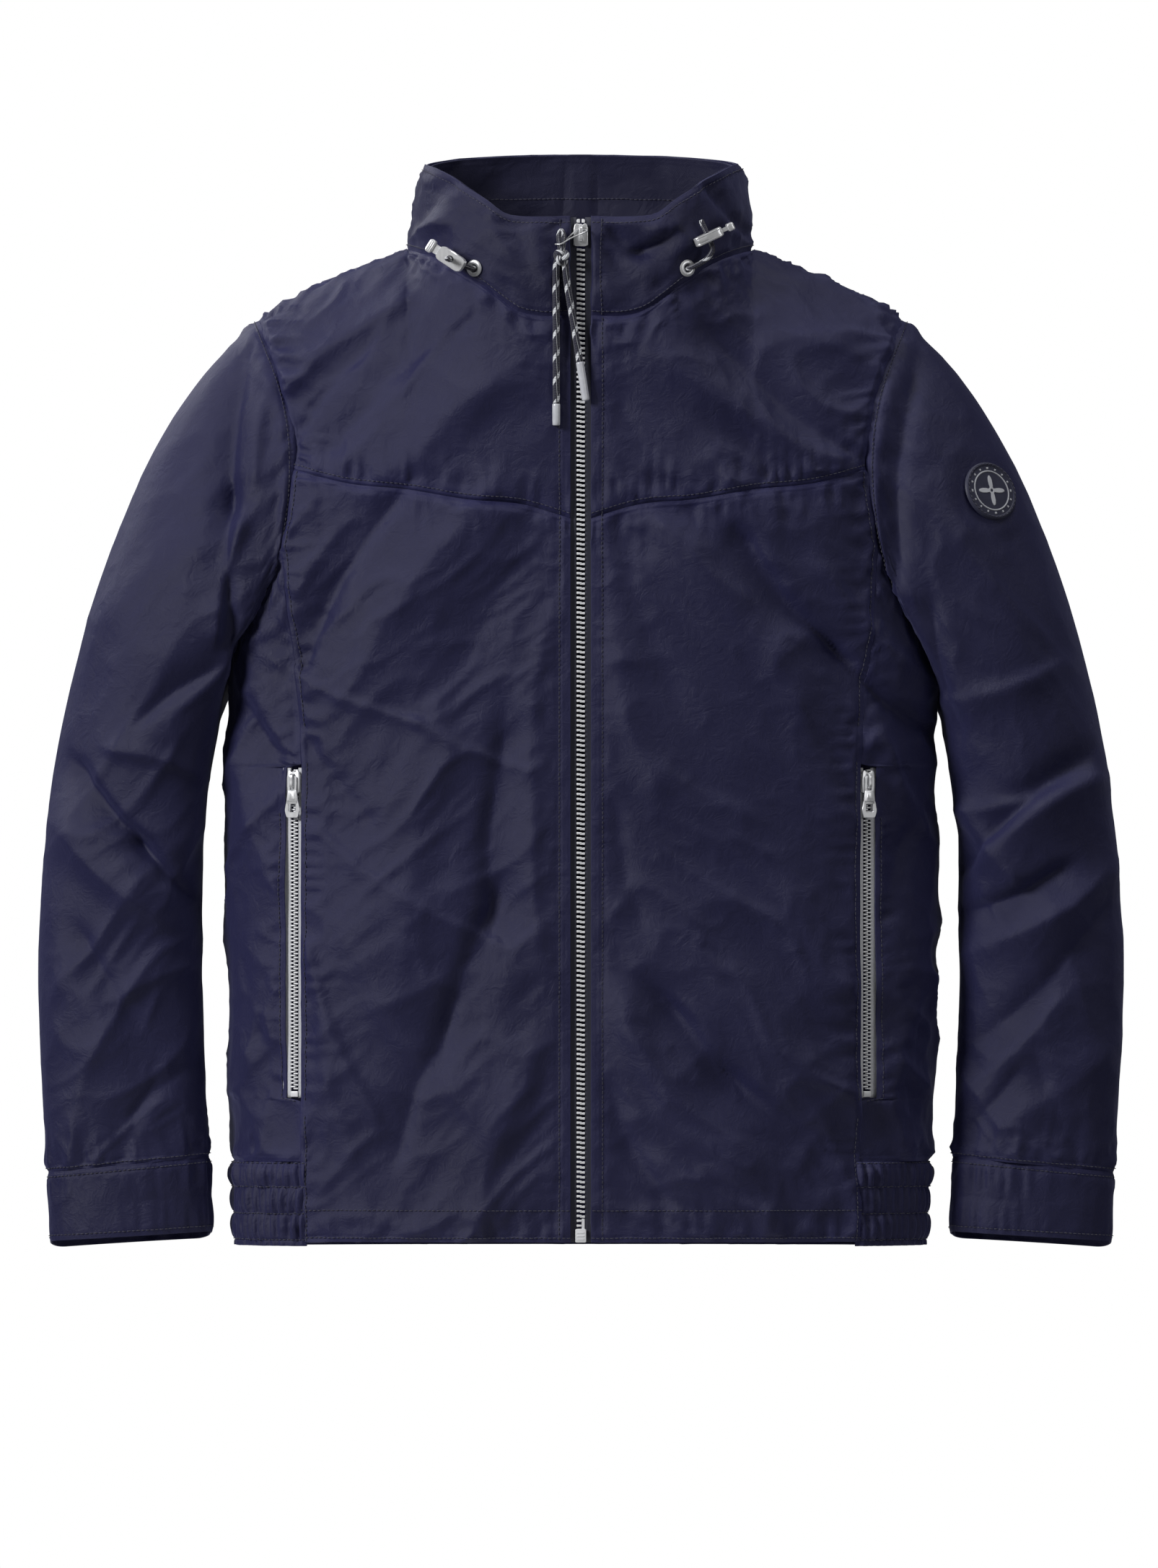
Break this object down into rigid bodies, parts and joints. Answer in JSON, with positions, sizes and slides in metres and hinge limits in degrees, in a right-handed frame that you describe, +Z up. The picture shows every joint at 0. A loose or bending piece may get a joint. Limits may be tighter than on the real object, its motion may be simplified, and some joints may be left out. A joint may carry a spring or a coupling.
{
  "type": "foul weather jacket",
  "caption": "Zip-front sailing jacket with stand-up collar, yoke, zipped side pockets, elasticated cuffs and hem, and drawcord locks at the collar.",
  "frame": {"origin": "underside of the middle of the hanger loop, inside the back of the neck", "axes": "+Z up, the jacket's front faces -Y, the wearer's left is +X"},
  "size_m": [0.7564, 0.2116, 0.7625],
  "materials": {
    "shell_cloth": "coated woven nylon, slightly crisp, soft sheen",
    "inner_cloth": "matte brushed facing",
    "lining": "matte mesh",
    "elastic": "shirred over elastic",
    "zip_tape": "woven tape",
    "pocket_tape": "pale woven tape",
    "zip_teeth": "silver moulded teeth",
    "metal": "bright satin",
    "cord": "braided cord with a pale tracer",
    "clear_sleeve": "smoky translucent sleeve",
    "badge_rubber": "moulded matte rubber"
  },
  "bodies": {
    "garment": {"left_front_panel": "shell_cloth", "right_front_panel": "shell_cloth", "left_front_yoke": "shell_cloth", "right_front_yoke": "shell_cloth", "left_side_panel": "shell_cloth", "right_side_panel": "shell_cloth", "left_sleeve": "shell_cloth", "right_sleeve": "shell_cloth", "back_panel": "shell_cloth", "back_yoke": "shell_cloth", "collar_outer": "shell_cloth", "collar_facing": "inner_cloth", "left_front_lining": "lining", "right_front_lining": "lining", "left_pocket_bag": "lining", "right_pocket_bag": "lining", "back_lining": "lining", "left_hem_elastic": "elastic", "right_hem_elastic": "elastic", "left_cuff": "elastic", "right_cuff": "elastic", "left_zip_tape": "zip_tape", "right_zip_tape": "zip_tape", "left_pocket_front_tape": "pocket_tape", "right_pocket_front_tape": "pocket_tape", "left_pocket_side_tape": "pocket_tape", "right_pocket_side_tape": "pocket_tape", "left_zip_teeth": "zip_teeth", "right_zip_teeth": "zip_teeth", "left_zip_top_stop": "zip_teeth", "right_zip_top_stop": "zip_teeth", "left_pocket_zip_chain": "zip_teeth", "right_pocket_zip_chain": "zip_teeth", "zip_retainer_box": "zip_teeth", "zip_insertion_pin": "zip_teeth", "left_eyelet": "metal", "right_eyelet": "metal", "left_drawcord": "cord", "right_drawcord": "cord", "hanger_loop": "cord", "left_sleeve_badge": "badge_rubber"},
    "front_zip_slider": {"zip_slider": "metal"},
    "front_zip_pull": {"zip_pull_ring": "metal", "pull_cord_knot": "cord", "pull_cord_long": "cord", "pull_cord_short": "cord", "long_cord_aglet": "clear_sleeve", "short_cord_aglet": "clear_sleeve"},
    "left_pocket_slider": {"left_pocket_slider": "metal"},
    "left_pocket_pull": {"left_pocket_pull": "metal"},
    "left_lock": {"left_lock_body": "metal", "left_lock_spring": "metal"},
    "left_lock_plunger": {"left_lock_plunger": "metal"},
    "right_pocket_slider": {"right_pocket_slider": "metal"},
    "right_pocket_pull": {"right_pocket_pull": "metal"},
    "right_lock": {"right_lock_body": "metal", "right_lock_spring": "metal"},
    "right_lock_plunger": {"right_lock_plunger": "metal"}
  },
  "joints": [
    {"name": "front_zip_slide", "type": "slide", "parent": "garment", "child": "front_zip_slider", "axis": [0, 0, -1], "range_m": [0, 0.68]},
    {"name": "front_zip_pull_swing", "type": "hinge", "parent": "front_zip_slider", "child": "front_zip_pull", "pos_m": [0, -0.1381, -0.0033], "axis": [-1, 0, 0], "range_deg": [0, 80]},
    {"name": "left_pocket_zip_slide", "type": "slide", "parent": "garment", "child": "left_pocket_slider", "axis": [0, 0, -1], "range_m": [0, 0.205]},
    {"name": "left_pocket_pull_swing", "type": "hinge", "parent": "left_pocket_slider", "child": "left_pocket_pull", "pos_m": [0.20027, -0.10892, -0.3823], "axis": [-0.8942, -0.4477, 0], "range_deg": [0, 150]},
    {"name": "right_pocket_zip_slide", "type": "slide", "parent": "garment", "child": "right_pocket_slider", "axis": [0, 0, -1], "range_m": [0, 0.205]},
    {"name": "right_pocket_pull_swing", "type": "hinge", "parent": "right_pocket_slider", "child": "right_pocket_pull", "pos_m": [-0.20027, -0.10892, -0.3823], "axis": [-0.8942, 0.4477, 0], "range_deg": [0, 150]},
    {"name": "left_lock_slide", "type": "slide", "parent": "garment", "child": "left_lock", "axis": [-0.4117, -0.0992, 0.9059], "range_m": [0, 0.006]},
    {"name": "left_lock_press", "type": "slide", "parent": "left_lock", "child": "left_lock_plunger", "axis": [-0.9016, -0.1002, -0.4208], "range_m": [0, 0.0035], "stiffness_N_per_m": 600, "springref_m": -0.003, "deforming": ["left_lock_spring"]},
    {"name": "right_lock_slide", "type": "slide", "parent": "garment", "child": "right_lock", "axis": [-0.2204, -0.9754, 0.0002], "range_m": [0, 0.006]},
    {"name": "right_lock_press", "type": "slide", "parent": "right_lock", "child": "right_lock_plunger", "axis": [0.8178, -0.185, -0.5449], "range_m": [0, 0.0035], "stiffness_N_per_m": 600, "springref_m": -0.003, "deforming": ["right_lock_spring"]}
  ]
}
